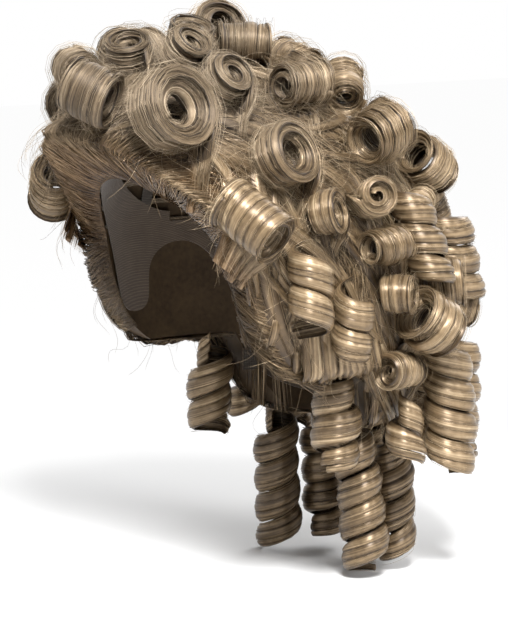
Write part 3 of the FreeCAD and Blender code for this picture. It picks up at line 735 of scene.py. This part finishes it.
def curl_pieces():
    """Every roll and ringlet as combed hair."""
    for node in NODES:
        kind = next((k for k, names in KINDS if node.startswith(names)), None)
        if not kind:
            continue
        bundle = Bundle()
        root = None
        for curl in curls_of(node):
            rng = seeded(curl.name)
            top = smoothstep(curl.centre[2], 40 * MM, 100 * MM)
            if kind == "roll":
                if node.startswith(WOUND):
                    band = coil_band(curl, rng, 11.5 * MM, curl.radius * 2.2)
                else:
                    turns = {"front_roll": 2.1, "crown_roll": 2.2}.get(node[:10], 1.9)
                    band = roll_band(curl, rng, turns, curl.radius * 1.8)
                band.comb(bundle, rng, 0.5 - 0.06 * top, loose=0.8 + 0.6 * top,
                          stray=1 + 1.6 * top, fly=12, inner=8)
                ring = curl.length < 24 * MM
                away = 1 if mass_normal(curl.centre[None])[0] @ curl.axis > 0 else -1
                for end in ((away,) if ring else (1, -1)):
                    face = face_band(curl, rng, end, 0.42 if ring else 0.55, 0.30 if ring else 0.22)
                    face.comb(bundle, rng, 0.50 - 0.08 * top, lock=4.5 * MM, loose=0.9,
                              stray=1.2, fly=8, inner=3)
            else:
                knotted = node.startswith(KNOTTED)
                lead = 0 if knotted else 30 * MM if kind == "short" else 34 * MM
                band = ringlet_band(curl, rng, lead, knotted)
                # Ringlets that hang lower get a darker tone: painted shade, as if shaded by the neck.
                low = smoothstep(-curl.centre[2], 80 * MM, 150 * MM)
                band.comb(bundle, rng, 0.51 - 0.12 * low, loose=0.5, stray=0.7)
                if kind == "hang" and not knotted:
                    root = (curl.top - curl.axis * 3 * MM, curl.top + curl.axis * 16 * MM)
        finish_piece(bundle, "curl_" + node, node, BODY_OF[node], root)


# ---- the teased hair under the curls

SIDE_CO = mesh_arrays(NODES["hair_sides"])[0]
SIDE_HEM = SIDE_CO[SIDE_CO[:, 1] < 35 * MM][:, 2].min() + 1 * MM
NAPE_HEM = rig.box("hair_nape")[0][2] + 1 * MM
SIDE_END = 45 * MM           # behind this the hem is the nape's
EDGE_LEVEL = np.array([-62, -42, -22, 8, 30, 50, 100]) * MM
EDGE_Y = np.array([-23, -39, -47, -55, -67, -85, -150]) * MM
HEAD = np.array([76.0, 97.0, 95.0]) * MM
HEAD_DROP = 123.0 * MM


def edge_y(level):
    """Where the hair's front edge is, at a level."""
    return np.interp(level, EDGE_LEVEL, EDGE_Y)


def behind_edge(p):
    """How far behind the front edge points are."""
    return p[..., 1] - edge_y(p[..., 2])


def hem_at(p):
    """How low the hair reaches at points."""
    return np.where(p[..., 1] > SIDE_END, NAPE_HEM, SIDE_HEM)


def flow_at(p, bend):
    """Direction in which hair is combed at points of the hair mass, turned by an angle."""
    n = mass_normal(p)
    high = smoothstep(p[..., 2:3], 10 * MM, 90 * MM)
    rear = smoothstep(p[..., 1:2], 30 * MM, 130 * MM)
    down = np.array([0.0, 0.0, -1.0])
    back = np.array([0.0, 1.0, 0.0])
    v = back * (0.45 + 0.55 * high) * (1 - 0.9 * rear) + down * (0.30 + 0.70 * (1 - high) + rear)
    v = unit(v - n * dot(v, n))
    return unit(v * np.cos(bend) + np.cross(n, v) * np.sin(bend)), n


def swell(rng, scale):
    """A smooth random function of place, between about -1 and 1."""
    k = rng.normal(size=(5, 3)) / scale
    ph = rng.uniform(0, 2 * math.pi, 5)
    return lambda p: np.sin(p @ k.T + ph).sum(-1, keepdims=True) / 2.6


def trace(starts, rows, step, rng, bend, loose, scale=26 * MM):
    """Lines combed over the hair mass from each start, bending together in waves."""
    p = starts.copy()
    field = swell(rng, scale)
    lean = rng.normal(0, loose, (len(starts), 1))
    lines = [p]
    for _ in range(rows - 1):
        v, _ = flow_at(p, lean + bend * field(p))
        p = on_mass(p + v * step)
        lines.append(p)
    return np.stack(lines, axis=1)


def scatter(rng, count):
    """Random points on the part of the hair mass that carries hair."""
    q = unit(rng.normal(size=(count * 4, 3)))
    p = (q * MASS_HALF) @ MASS_TURN.T + MASS_CENTRE
    return p[(behind_edge(p) > 1 * MM) & (p[:, 2] > hem_at(p))][:count]


def lock_band(line, normals, width, rise, rng, ends=0.12, sink=1.0, column=0.9 * MM):
    """A tapered band along a line over the hair mass. rise is how far its middle stands off, ends
    the part of its width that its ends keep, and sink how far they dip in."""
    tangent = unit(np.gradient(line, axis=0))
    side = unit(np.cross(normals, tangent))
    t = np.linspace(0, 1, len(line))
    s = np.linspace(-1, 1, 7)[:, None, None]
    full = np.sin(math.pi * np.clip(t * 0.92 + 0.04, 0, 1)) ** 0.6
    spread = width / 2 * (ends + (1 - ends) * full)
    arch = rise * np.sin(math.pi * t) ** 0.8 - 1.8 * MM * (1 - np.sin(math.pi * t) ** 0.35) * sink
    twist = rng.normal(0, 0.12) + 0.18 * np.sin(t * 3 + rng.uniform(0, 6))
    tilted = side * np.cos(twist)[:, None] + normals * np.sin(twist)[:, None]
    crown = normals[None] * ((1 - s ** 2) * 0.12 * width * (0.3 + 0.7 * full)[None, :, None])
    middle = (line + normals * arch[:, None])[None]
    points = middle + tilted[None] * (s * spread[None, :, None]) + crown
    return Band(points, unit(normals[None] + tilted[None] * s * 0.45), column)


def base_locks(name, count, width, rise, rows, step, tone, bend, loose, column):
    """Locks combed over the hair mass."""
    rng = seeded(name)
    lines = trace(scatter(rng, count), rows, step, rng, bend, loose)
    bundle = Bundle()
    for line in lines:
        hem = hem_at(line)
        inside = (behind_edge(line) > -3 * MM) & (line[:, 2] > hem - 9 * MM)
        stop = len(line) if inside.all() else int(np.argmin(inside))
        if stop < 6:
            continue
        under = np.clip(hem + 7 * MM - line[:, 2], 0, 16 * MM)[:stop, None]
        line = line[:stop] - mass_normal(line[:stop]) * under ** 2 * 40
        lock = lock_band(line, mass_normal(line), rng.uniform(*width) * MM,
                         rng.uniform(*rise) * MM, rng, column=column)
        lock.comb(bundle, rng, tone + rng.normal(0, 0.06), lock=9 * MM, loose=0.6, stray=0.5, fly=2)
    finish_piece(bundle, name)


def strand_piece(name, lines, radius, tone, facing):
    """Strands of the teased hair as one piece."""
    bundle = Bundle()
    bundle.tubes(lines, radius, tone, facing)
    finish_piece(bundle, name)


def rim(count):
    """The hair's front edge from ear to ear: places on the head and on the hair mass, and the way
    out from the head."""
    psi = np.radians(np.linspace(-128, 128, count))
    out = np.stack([np.sin(psi), np.zeros(count), np.cos(psi)], axis=1)
    y = np.full(count, -60 * MM)
    for _ in range(60):
        tall = np.where(np.cos(psi) > 0, HEAD[2], HEAD_DROP)
        rho = (np.sqrt(np.clip(1 - (y / HEAD[1]) ** 2, 0.02, 1))
               / np.hypot(np.sin(psi) / HEAD[0], np.cos(psi) / tall))
        y = y * 0.7 + 0.3 * edge_y(rho * np.cos(psi))
    inner = out * rho[:, None]
    inner[:, 1] = y
    low, high = rho.copy(), np.full(count, 170 * MM)
    for _ in range(40):
        middle = (low + high) / 2
        p = out * middle[:, None]
        p[:, 1] = edge_y(p[:, 2])
        within = mass_depth(p) < 1
        low, high = np.where(within, middle, low), np.where(within, high, middle)
    outer = out * low[:, None]
    outer[:, 1] = edge_y(outer[:, 2])
    keep = inner[:, 2] > SIDE_HEM
    return inner[keep], outer[keep], out[keep]


def hairline(count):
    """Fine hair that leaves the cap's front edge, rises over the mass's edge and is combed back."""
    rng = seeded("hairline")
    inner, outer, _ = rim(500)
    along = unit(np.gradient(inner, axis=0))
    wall = unit(np.cross(along, outer - inner))
    wall = wall * np.sign(-wall[:, 1:2] + 1e-9)
    k = rng.randint(0, len(inner), count)
    a, b, along, wall = inner[k], outer[k], along[k], wall[k]
    a = a + along * rng.uniform(-1.5, 1.5, (count, 1)) * MM
    o = unit(b - a)
    thick = np.linalg.norm(b - a, axis=1, keepdims=True)
    bend = swell(rng, 9 * MM)(b)
    lean = along * thick * (0.45 * bend + rng.normal(0, 0.10, (count, 1)))
    n = mass_normal(b)
    fall = np.array([0, 0, 0.35]) * smoothstep(-b[:, 2:3], -60 * MM, 20 * MM)
    v = np.array([0, 1.0, 0]) - fall + along * 0.35 * bend
    v = unit(v - n * dot(v, n) + rng.normal(0, 0.10, (count, 3)))
    puff = rng.uniform(0.2, 1.0, (count, 1)) ** 1.6 * 3.6 * MM * (1 + 0.3 * swell(rng, 14 * MM)(b))
    run = rng.uniform(16, 38, (count, 1)) * MM
    shake = rng.normal(0, 0.5, (count, 6, 3)) * MM
    shake[:, 0] = 0
    knots = np.stack([a, a + o * thick * 0.35 + wall * puff * 0.8 + lean * 0.3,
                      a + o * thick * 0.8 + wall * puff + lean * 0.8,
                      b + n * (0.6 * MM + puff * 0.5) + wall * puff * 0.4 + lean,
                      on_mass(b + lean + v * run * 0.5) + n * (0.5 * MM + puff * 0.4),
                      on_mass(b + lean + v * run) + n * rng.uniform(-0.5, 1.2, (count, 1)) * MM],
                     axis=1) + shake
    lines = smooth_line(knots, 16)
    t = np.linspace(0, 1, 16)
    blend = smoothstep(t, 0.35, 0.7)[None, :, None]
    facing = wall[:, None] * (1 - blend) + mass_normal(lines) * blend
    shade = 0.16 + 0.30 * smoothstep(t, 0.0, 0.4)[None] + 0.08 * bend
    shade = shade + rng.normal(0, 0.11, (count, 1))
    strand_piece("hairline", lines, STRAND * rng.uniform(0.8, 1.7, (count, 1)),
                 np.clip(shade, 0.03, 1), unit(facing))


SWAGS = 24                   # locks behind each ear
HEM_CURLS = 26               # locks at each side's hem


def swags():
    """Long smooth hair behind each ear that sweeps down and back into the nape ringlets."""
    rng = seeded("swags")
    bundle = Bundle()
    for side in (1, -1):
        for u in np.arange(SWAGS) / (SWAGS - 1):
            knots = np.array([[81, 16 + 12 * u, -20], [84, 26 + 16 * u, -46],
                              [80 - 3 * u, 38 + 21 * u, -72], [69 - 8 * u, 57 + 22 * u, -93],
                              [56 - 12 * u, 72 + 20 * u, -106]]) * MM
            knots = knots + rng.normal(0, 1.3, knots.shape) * MM
            line = smooth_line(knots, 24)
            out = unit(line * np.array([1, 1, 0]))
            line = (line + out * rng.uniform(-2, 2.5) * MM) * np.array([side, 1, 1])
            out = out * np.array([side, 1, 1])
            lock = lock_band(line, out, rng.uniform(6, 11) * MM, 1.2 * MM, rng)
            lock.comb(bundle, rng, 0.54 + rng.normal(0, 0.09), lock=9 * MM, loose=0.4, stray=0.8,
                      fly=3)
    finish_piece(bundle, "swags")


def hem_curls():
    """Ends of the lower side hair that curl under at the hem."""
    rng = seeded("hem_curls")
    bundle = Bundle()
    t = np.linspace(0, 1, 22)
    for side in (1, -1):
        for k in range(HEM_CURLS):
            y = (-16 + 54 * k / (HEM_CURLS - 1) + rng.normal(0, 1.5)) * MM
            start = on_mass(np.array([[side * 90 * MM, y, SIDE_HEM + rng.uniform(14, 44) * MM]]))[0]
            n = mass_normal(start[None])[0]
            out = unit(n * np.array([1, 1, 0]))
            radius = rng.uniform(5.0, 9.5) * MM
            fall = start[2] - SIDE_HEM - radius * 0.4
            turn = np.clip((t - 0.45) / 0.55, 0, 1) * math.pi * rng.uniform(1.0, 1.5)
            drop = np.clip(t / 0.45, 0, 1) * fall + radius * np.sin(turn)
            inward = radius * (1 - np.cos(turn))
            slide = np.array([0, 1, 0]) * (t ** 1.5 * rng.uniform(4, 24) * MM)[:, None]
            line = start + np.array([0, 0, -1]) * drop[:, None] - out * inward[:, None] + slide
            tangent = unit(np.gradient(line, axis=0))
            facing = unit(out - tangent * dot(tangent, out[None]) + 1e-6)
            facing = facing * np.sign(np.cos(turn * 0.55))[:, None]
            lock = lock_band(line, facing, rng.uniform(6, 10) * MM, 0.8 * MM, rng, 0.25, 0.4)
            lock.comb(bundle, rng, 0.46 + rng.normal(0, 0.06), lock=9 * MM, loose=0.4, stray=0.6,
                      fly=2)
    finish_piece(bundle, "hem_curls")


def smooth_line(knots, rows):
    """Smooth lines through knots: ... x knots x 3 gives ... x rows x 3."""
    k = knots.shape[-2]
    t = np.linspace(0, k - 1, rows)
    i = np.clip(t.astype(int), 0, k - 2)
    w = (t - i)[:, None]
    first = 2 * knots[..., :1, :] - knots[..., 1:2, :]
    last = 2 * knots[..., -1:, :] - knots[..., -2:-1, :]
    padded = np.concatenate([first, knots, last], axis=-2)
    p0, p1, p2, p3 = (padded[..., i + m, :] for m in range(4))
    return 0.5 * (2 * p1 + (p2 - p0) * w + (2 * p0 - 5 * p1 + 4 * p2 - p3) * w ** 2
                  + (3 * p1 - p0 - 3 * p2 + p3) * w ** 3)


def combed_strands(name, count, rows, step):
    """Fine strands combed flat over the hair mass, in streams that wave together."""
    rng = seeded(name)
    lines = trace(scatter(rng, count), rows, step, rng, 0.55, 0.10)
    n = mass_normal(lines)
    t = np.linspace(0, 1, rows)
    rise = rng.uniform(0.6, 3.2, (len(lines), 1)) * np.sin(math.pi * t) ** 0.7 * MM
    hem = hem_at(lines)
    under = np.clip(hem + 6 * MM - lines[..., 2], 0, 14 * MM)[..., None]
    lines = lines + n * rise[..., None] - n * under ** 2 * 25
    lines[..., 2] = np.maximum(lines[..., 2], hem - 3 * MM)
    keep = (behind_edge(lines) > -4 * MM).all(1)
    lines, n = lines[keep], n[keep]
    shade = 0.42 + 0.10 * swell(rng, 12 * MM)(lines[:, 0]) + rng.normal(0, 0.13, (len(lines), 1))
    strand_piece(name, lines, STRAND * rng.uniform(0.9, 1.8, (len(lines), 1)),
                 np.clip(shade, 0.03, 1), n)


def arched(lines, rng, peak, least, power=1.0):
    """Lines on the hair mass lifted off it in arches. peak is the range of their height in mm, and
    least the smallest part of a half wave that one takes up."""
    t = np.linspace(0, 1, lines.shape[1])
    each = (len(lines), 1)
    height = rng.uniform(*peak, each) * MM
    arch = height * np.sin(math.pi * t * rng.uniform(least, 1.0, each)) ** power
    return lines + mass_normal(lines) * arch[..., None]


def pale(rng, lines, tone, spread):
    """A tone for each of some loose hairs, within spread of the one given for most."""
    return np.clip(tone + rng.normal(0, spread, (len(lines), 1)), 0, 1)


def frizz(name, count):
    """Fine wiry hairs that stand off the hair mass, most of them over the crown."""
    rng = seeded(name)
    starts = scatter(rng, count)
    high = smoothstep(starts[:, 2], -20 * MM, 90 * MM)
    starts = starts[rng.uniform(size=len(starts)) < 0.25 + 0.75 * high]
    lines = trace(starts, 11, 4.0 * MM, rng, 0.9, 0.9, 12 * MM)
    facing = mass_normal(lines)
    lines = arched(lines, rng, (1, 11), 0.55)
    strand_piece(name, lines, FLYAWAY, pale(rng, lines, 0.62, 0.15), facing)


def halo(count):
    """Pale loose hairs that loop out over the front and crown curls."""
    rng = seeded("halo")
    starts = scatter(rng, count)
    starts = starts[(starts[:, 2] > 25 * MM) & (behind_edge(starts) > 12 * MM)]
    lines = trace(starts, 13, 3.6 * MM, rng, 1.4, 1.3, 13 * MM)
    lines = arched(lines, rng, (3, 17), 0.6, 0.8)
    lines = lines[(behind_edge(lines) > 3 * MM).all(1)]
    strand_piece("halo", lines, FLYAWAY * 0.6, pale(rng, lines, 0.72, 0.12), mass_normal(lines))


def baby_hairs():
    """Short soft hairs along the edge of the cap, over the forehead and temples."""
    rng = seeded("baby_hairs")
    inner, _, out = rim(700)
    n = len(inner)
    t = np.linspace(0, 1, 9)[None, :, None]
    length = rng.uniform(6, 17, (n, 1, 1)) * MM
    lean = rng.normal(0, 0.45, (n, 1))
    side = np.cross(out, [0, 1, 0])
    first = unit(out * 0.8 + np.array([0, -0.55, 0]) + side * lean)[:, None]
    bend = unit(out * 0.9 + np.array([0, 0.75, 0]) + side * lean * 1.6)[:, None]
    paths = inner[:, None] + length * (first * t * (1 - t * 0.5) + bend * t ** 2 * 0.7)
    strand_piece("baby_hairs", paths, FLYAWAY * 0.9, pale(rng, paths, 0.35, 0.1),
                 out[:, None] + 0 * paths)


# Dark tone of the hair mass under the locks: painted shade where it shows between them.
SHELL_PAINTED_SHADE = 0.14


def shells():
    """The body of the hair mass under the locks, painted dark as shade, one piece for each of its nodes."""
    for node in HAIR_NODES:
        mesh = NODES[node].data.copy()
        mesh.name = "body_" + node
        obj = new_object("body_" + node, mesh)
        co = mesh_arrays(obj)[0]
        set_values(mesh, tone=np.full(len(co), SHELL_PAINTED_SHADE), cast=cast_of(co))
        mesh.materials.clear()
        mesh.materials.append(hair_deep)
        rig.ride(obj, BODY_OF[node])
        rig.replaces(obj, node)
        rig.slot(obj, "hair_fibre")


# ---- the cap

CLOTH_STOPS = ((0.0, (0.045, 0.030, 0.020)), (0.5, (0.090, 0.062, 0.040)),
               (1.0, (0.160, 0.115, 0.078)))
ELASTIC_STOPS = ((0.0, (0.020, 0.015, 0.011)), (0.5, (0.050, 0.038, 0.028)),
                 (1.0, (0.105, 0.082, 0.060)))
WEFT_STOPS = ((0.0, (0.040, 0.026, 0.014)), (0.5, (0.120, 0.082, 0.045)),
              (1.0, (0.230, 0.170, 0.100)))


def woven(name, stops, scale, roughness, depth, sheen=0.0, stretch=(1.0, 1.0, 1.0)):
    """Cloth or knitted elastic: crossed threads in the colour and in the bump."""
    material, shader, make, feed, calc = node_material(name)
    place = make("TexCoord", "Object")
    turned = make("Mapping", 0, {"Vector": place, "Rotation": (0.0, 0.0, math.radians(33)),
                                 "Scale": stretch})
    first, second = (make("TexWave", "Fac", {"Vector": turned, "Scale": scale, "Distortion": 1.2,
                                             "Detail": 2, "Detail Scale": 2}, bands_direction=way)
                     for way in ("Z", "DIAGONAL"))
    cross = calc("MULTIPLY", first, second)
    noise = make("TexNoise", "Fac", {"Vector": place, "Scale": 120, "Detail": 4})
    half = calc("MULTIPLY", noise, 0.5)
    mixed = calc("MULTIPLY_ADD", cross, 0.6, half)
    bump = make("Bump", "Normal", {"Height": cross, "Strength": 0.7, "Distance": depth})
    feed(shader, {"Base Color": ramp_of(make, stops, mixed), "Normal": bump,
                  "Roughness": roughness, "Sheen Weight": sheen})
    return material


def moulded(name, dark, light, roughness):
    """Moulded plastic with a faint mottle and a fine grain."""
    material, shader, make, feed, _ = node_material(name)
    place = make("TexCoord", "Object")
    noise = make("TexNoise", "Fac", {"Vector": place, "Scale": 160, "Detail": 4})
    rough = make("MapRange", "Result", {"Value": noise, "To Min": roughness - 0.08,
                                        "To Max": roughness + 0.10})
    bump = make("Bump", "Normal", {"Height": noise, "Strength": 0.25, "Distance": 0.0002})
    feed(shader, {"Base Color": ramp_of(make, ((0.3, dark), (0.7, light)), noise),
                  "Roughness": rough, "Normal": bump})
    return material


def dress(node, material):
    """Gives a CAD node a material in every slot."""
    slots = NODES[node].material_slots
    if not slots:
        NODES[node].data.materials.append(material)
    for slot in slots:
        slot.material = material


NET_THREADS = 84             # threads each way round the crown


def net():
    """The crown's net as threads that cross over the head."""
    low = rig.box("crown_net")[0]
    bundle = Bundle()
    middle = HEAD + np.array([1, 1, 1]) * 0.4 * MM
    for sense in (1, -1):
        for k in range(NET_THREADS):
            start = 2 * math.pi * k / NET_THREADS
            el = np.linspace(math.radians(18), math.radians(90), 60)
            az = start + sense * (el - el[0]) * 1.1
            line = np.stack([np.cos(el) * np.sin(az), -np.cos(el) * np.cos(az), np.sin(el)], axis=1)
            line = line * middle
            keep = (line[:, 2] > low[2]) & (line[:, 1] > edge_y(line[:, 2]) + 23 * MM)
            if keep.sum() < 4:
                continue
            first, last = np.argmax(keep), len(keep) - np.argmax(keep[::-1])
            line = line[first:last]
            bundle.tubes(line[None], 0.22 * MM, 0.5, (line / middle)[None])
    piece = bundle.build("crown_net_threads", NET)
    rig.ride(piece, BODY_OF["crown_net"])
    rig.replaces(piece, "crown_net")
    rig.slot(piece, "net")


NET = woven("net_thread", CLOTH_STOPS, 900, 0.75, 0.0001)


def cap():
    """Materials of the bands, elastic, wefts, stays and adjusters."""
    band = woven("band_cloth", CLOTH_STOPS, 420, 0.82, 0.0002, 0.3)
    elastic = woven("elastic_knit", ELASTIC_STOPS, 620, 0.78, 0.0003, 0.2, (1.0, 1.0, 0.5))
    weft = woven("weft_thread", WEFT_STOPS, 300, 0.7, 0.0004, 0.2, (2.5, 2.5, 0.7))
    hook = moulded("hook_plastic", (0.010, 0.009, 0.008), (0.022, 0.020, 0.018), 0.42)
    stay = moulded("stay_plastic", (0.42, 0.39, 0.34), (0.55, 0.52, 0.46), 0.50)
    for material, nodes in (
            (band, ("front_band", "ear_tabs", "ear_bands", "nape_band", "strap_patches",
                    "hook_pockets")),
            (elastic, ("elastic_ribs", "adjuster_strap_left", "adjuster_strap_right")),
            (weft, ("weft_rows",)), (stay, ("ear_tab_stays",)),
            (hook, ("strap_hook_left", "strap_hook_right"))):
        for node in nodes:
            dress(node, material)
    net()


# ---- light, floor, camera

# name, azimuth and elevation in degrees, distance and size in metres, watts
LAMPS = (("key", 62, 46, 1.5, 0.40, 58), ("side", 115, 30, 1.6, 0.5, 9), ("top", 60, 82, 1.5, 0.7, 6),
         ("rear", 205, 35, 1.7, 0.9, 18), ("far", -60, 25, 1.7, 0.9, 5))
LIT = (0, 20 * MM, -30 * MM)  # what the lamps point at
CAMERA_AT = (55, 9)
CAMERA_AWAY = 1.8
CAMERA_WIDTH = 0.385         # width of the picture at the object, in metres
SENSOR = 36                  # in mm


def outward(azimuth, elevation):
    """The way to an azimuth from the front towards the wearer's left, and an elevation."""
    az, el = math.radians(azimuth), math.radians(elevation)
    return Vector((math.sin(az) * math.cos(el), -math.cos(az) * math.cos(el), math.sin(el)))


def aim(name, data, target, back, distance):
    """A lamp or camera that looks at a target from a distance."""
    obj = new_object(name, data)
    obj.location = target + back * distance
    obj.rotation_euler = back.to_track_quat("Z", "Y").to_euler()
    return obj


def stage():
    """Pale floor and backdrop, soft lights, and the camera."""
    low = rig.bounds()[0][2]
    material, shader, make, feed, calc = node_material("floor_paint")
    feed(shader, {"Base Color": (0.80, 0.80, 0.80, 1), "Roughness": 0.7})
    far = make("VectorMath", "Value", {0: make("TexCoord", "Object")}, operation="LENGTH")
    fade = make("MapRange", "Result", {"Value": far, "From Min": 0.16, "From Max": 0.55,
                                       "To Max": 0.97}, interpolation_type="SMOOTHSTEP")
    seen = calc("MULTIPLY", fade, make("LightPath", "Is Camera Ray"))
    glow = make("Emission", 0, {"Color": (1, 1, 1, 1)})
    mixed = make("MixShader", 0, {0: seen, 1: shader.outputs[0], 2: glow})
    output = next(n for n in material.node_tree.nodes if n.type == "OUTPUT_MATERIAL")
    feed(output, {"Surface": mixed})
    bpy.ops.mesh.primitive_plane_add(size=6, location=(0, 0, low - 0.5 * MM))
    floor = bpy.context.object
    floor.name = "floor"
    floor.data.materials.append(material)
    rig.stage(floor)

    world = bpy.data.worlds.new("studio")
    bpy.context.scene.world = world
    world.use_nodes = True
    make, feed, calc = node_tools(world.node_tree)
    seen, through, glossy = (make("LightPath", "Is %s Ray" % kind)
                             for kind in ("Camera", "Transmission", "Glossy"))
    seen = calc("MAXIMUM", seen, through)
    seen = calc("MAXIMUM", seen, glossy)
    strength = make("MapRange", "Result", {"Value": seen, "To Min": 0.09, "To Max": 1.0})
    feed(world.node_tree.nodes["Background"], {"Color": (1, 1, 1, 1), "Strength": strength})

    for name, azimuth, elevation, distance, size, power in LAMPS:
        data = bpy.data.lights.new(name, "AREA")
        data.size = size
        data.energy = power
        aim(name, data, Vector(LIT), outward(azimuth, elevation), distance)

    az = math.radians(CAMERA_AT[0])
    back = outward(*CAMERA_AT)
    right = Vector((math.cos(az), math.sin(az), 0))
    up = back.cross(right)
    data = bpy.data.cameras.new("camera")
    data.sensor_width = SENSOR
    data.lens = SENSOR * CAMERA_AWAY / CAMERA_WIDTH
    scene = bpy.context.scene
    scene.camera = aim("camera", data, right * 9.7 * MM - up * 40.9 * MM, back, CAMERA_AWAY)
    scene.view_settings.view_transform = "Standard"


for leftover in list(bpy.context.scene.objects):
    if leftover.name in ("Cube", "Light", "Camera"):
        bpy.data.objects.remove(leftover)

curl_pieces()
shells()
# The deeper a layer of locks lies, the darker its tone: painted shade in the depth of the hair mass.
base_locks("locks_deep", 180, (11, 17), (0.3, 0.9), 19, 5.5 * MM, 0.30, 0.5, 0.12, 1.7 * MM)
base_locks("locks_mid", 190, (9, 14), (0.9, 2.0), 19, 5.5 * MM, 0.39, 0.6, 0.15, 1.1 * MM)
base_locks("locks_proud", 80, (6, 10), (2.0, 5.0), 18, 5.0 * MM, 0.46, 0.7, 0.25, 0.8 * MM)
combed_strands("strands_base", 4000, 17, 4.8 * MM)
hairline(4200)
swags()
hem_curls()
baby_hairs()
halo(1800)
cap()
frizz("frizz_base", 5000)
stage()
bpy.context.view_layer.update()
with open("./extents.json", "w") as out:
    json.dump([[list(map(float, v)) for v in cad_box], [list(map(float, v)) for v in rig.bounds()]], out)
